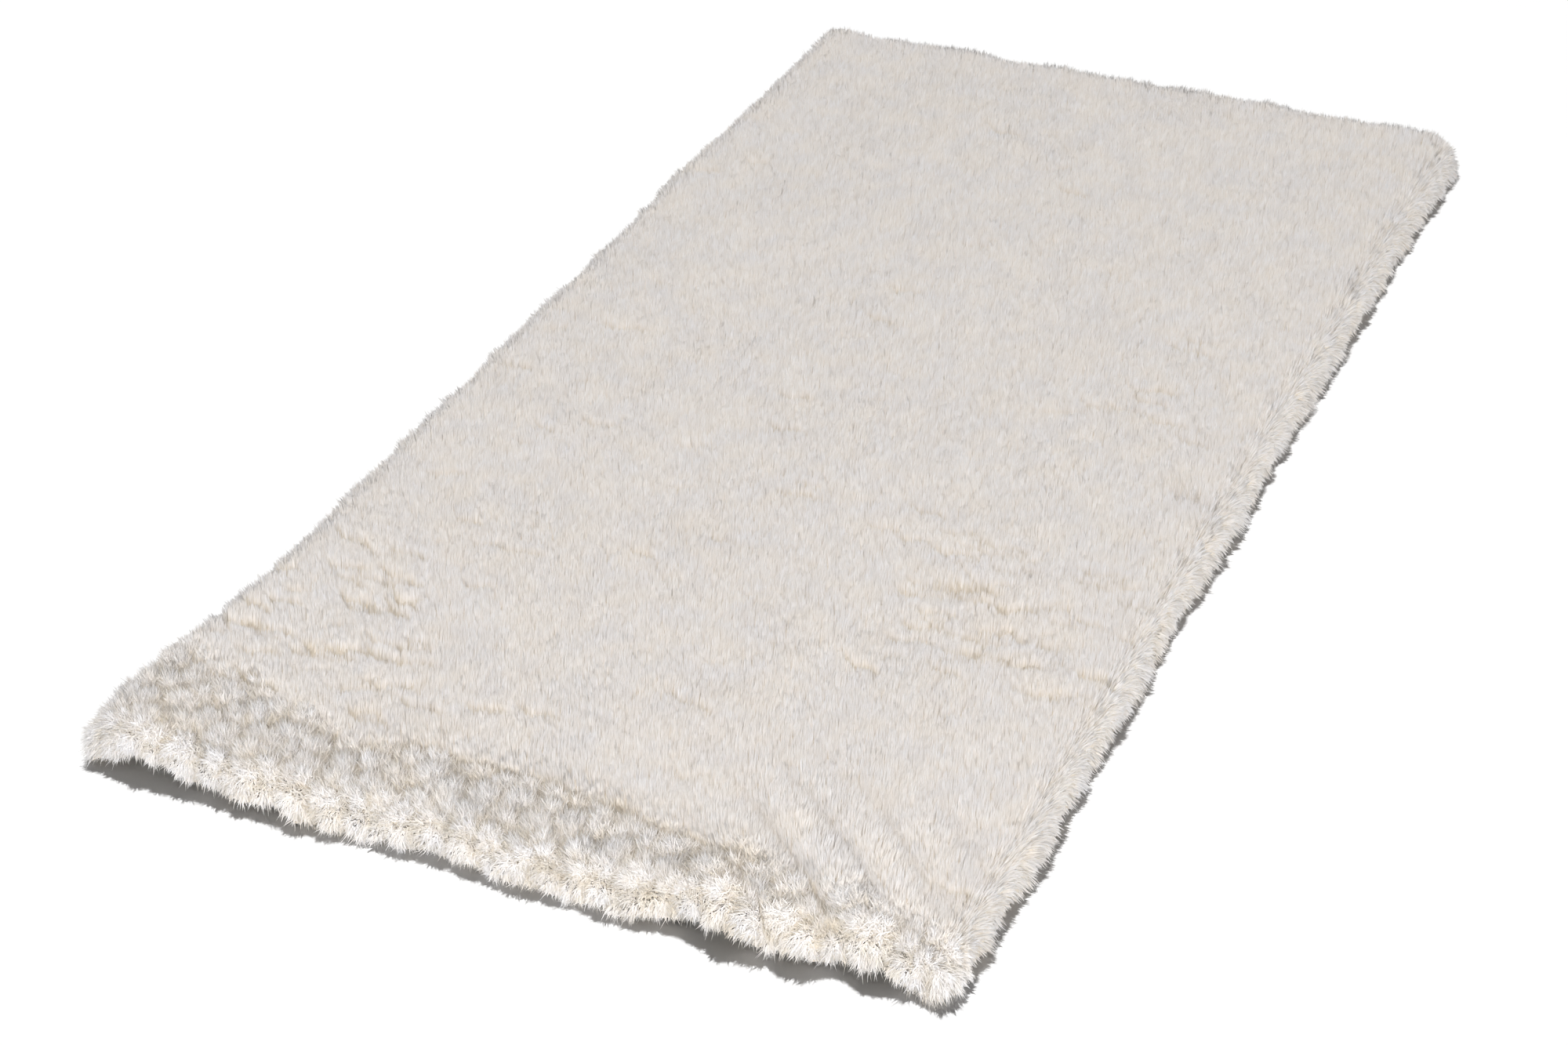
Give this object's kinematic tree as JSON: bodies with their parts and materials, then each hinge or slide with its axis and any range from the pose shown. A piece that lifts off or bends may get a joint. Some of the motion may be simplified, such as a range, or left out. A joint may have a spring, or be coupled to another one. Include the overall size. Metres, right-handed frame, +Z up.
{
  "type": "bath mat",
  "caption": "Rectangular deep-pile bath mat: rows of soft cut tufts on a woven base cloth with an anti-slip backing and an overlocked edge.",
  "frame": {"origin": "middle of the underside, on the floor", "axes": "+Z up, +Y along the mat's length and its tuft rows, +X across it"},
  "size_m": [0.5998, 1.2, 0.036],
  "materials": {
    "pile_yarn": "soft matt cream microfibre, cut pile",
    "base_cloth": "plain woven polyester, natural",
    "edge_thread": "spun polyester sewing thread, cream",
    "latex_coat": "dried latex, satin",
    "backing_rubber": "matt rubber with small grip bumps"
  },
  "bodies": {
    "root": {"anti_slip_backing": "backing_rubber", "latex_precoat": "latex_coat", "base_cloth": "base_cloth", "overlock_looper_threads": "edge_thread", "overlock_needle_thread": "edge_thread", "pile_rows_01": "pile_yarn", "pile_rows_02": "pile_yarn", "pile_rows_03": "pile_yarn", "pile_rows_04": "pile_yarn", "pile_rows_05": "pile_yarn", "pile_rows_06": "pile_yarn", "pile_rows_07": "pile_yarn", "pile_rows_08": "pile_yarn", "pile_rows_09": "pile_yarn", "pile_rows_10": "pile_yarn", "pile_rows_11": "pile_yarn", "pile_rows_12": "pile_yarn", "pile_rows_13": "pile_yarn", "pile_rows_14": "pile_yarn", "pile_rows_15": "pile_yarn"}
  },
  "joints": []
}
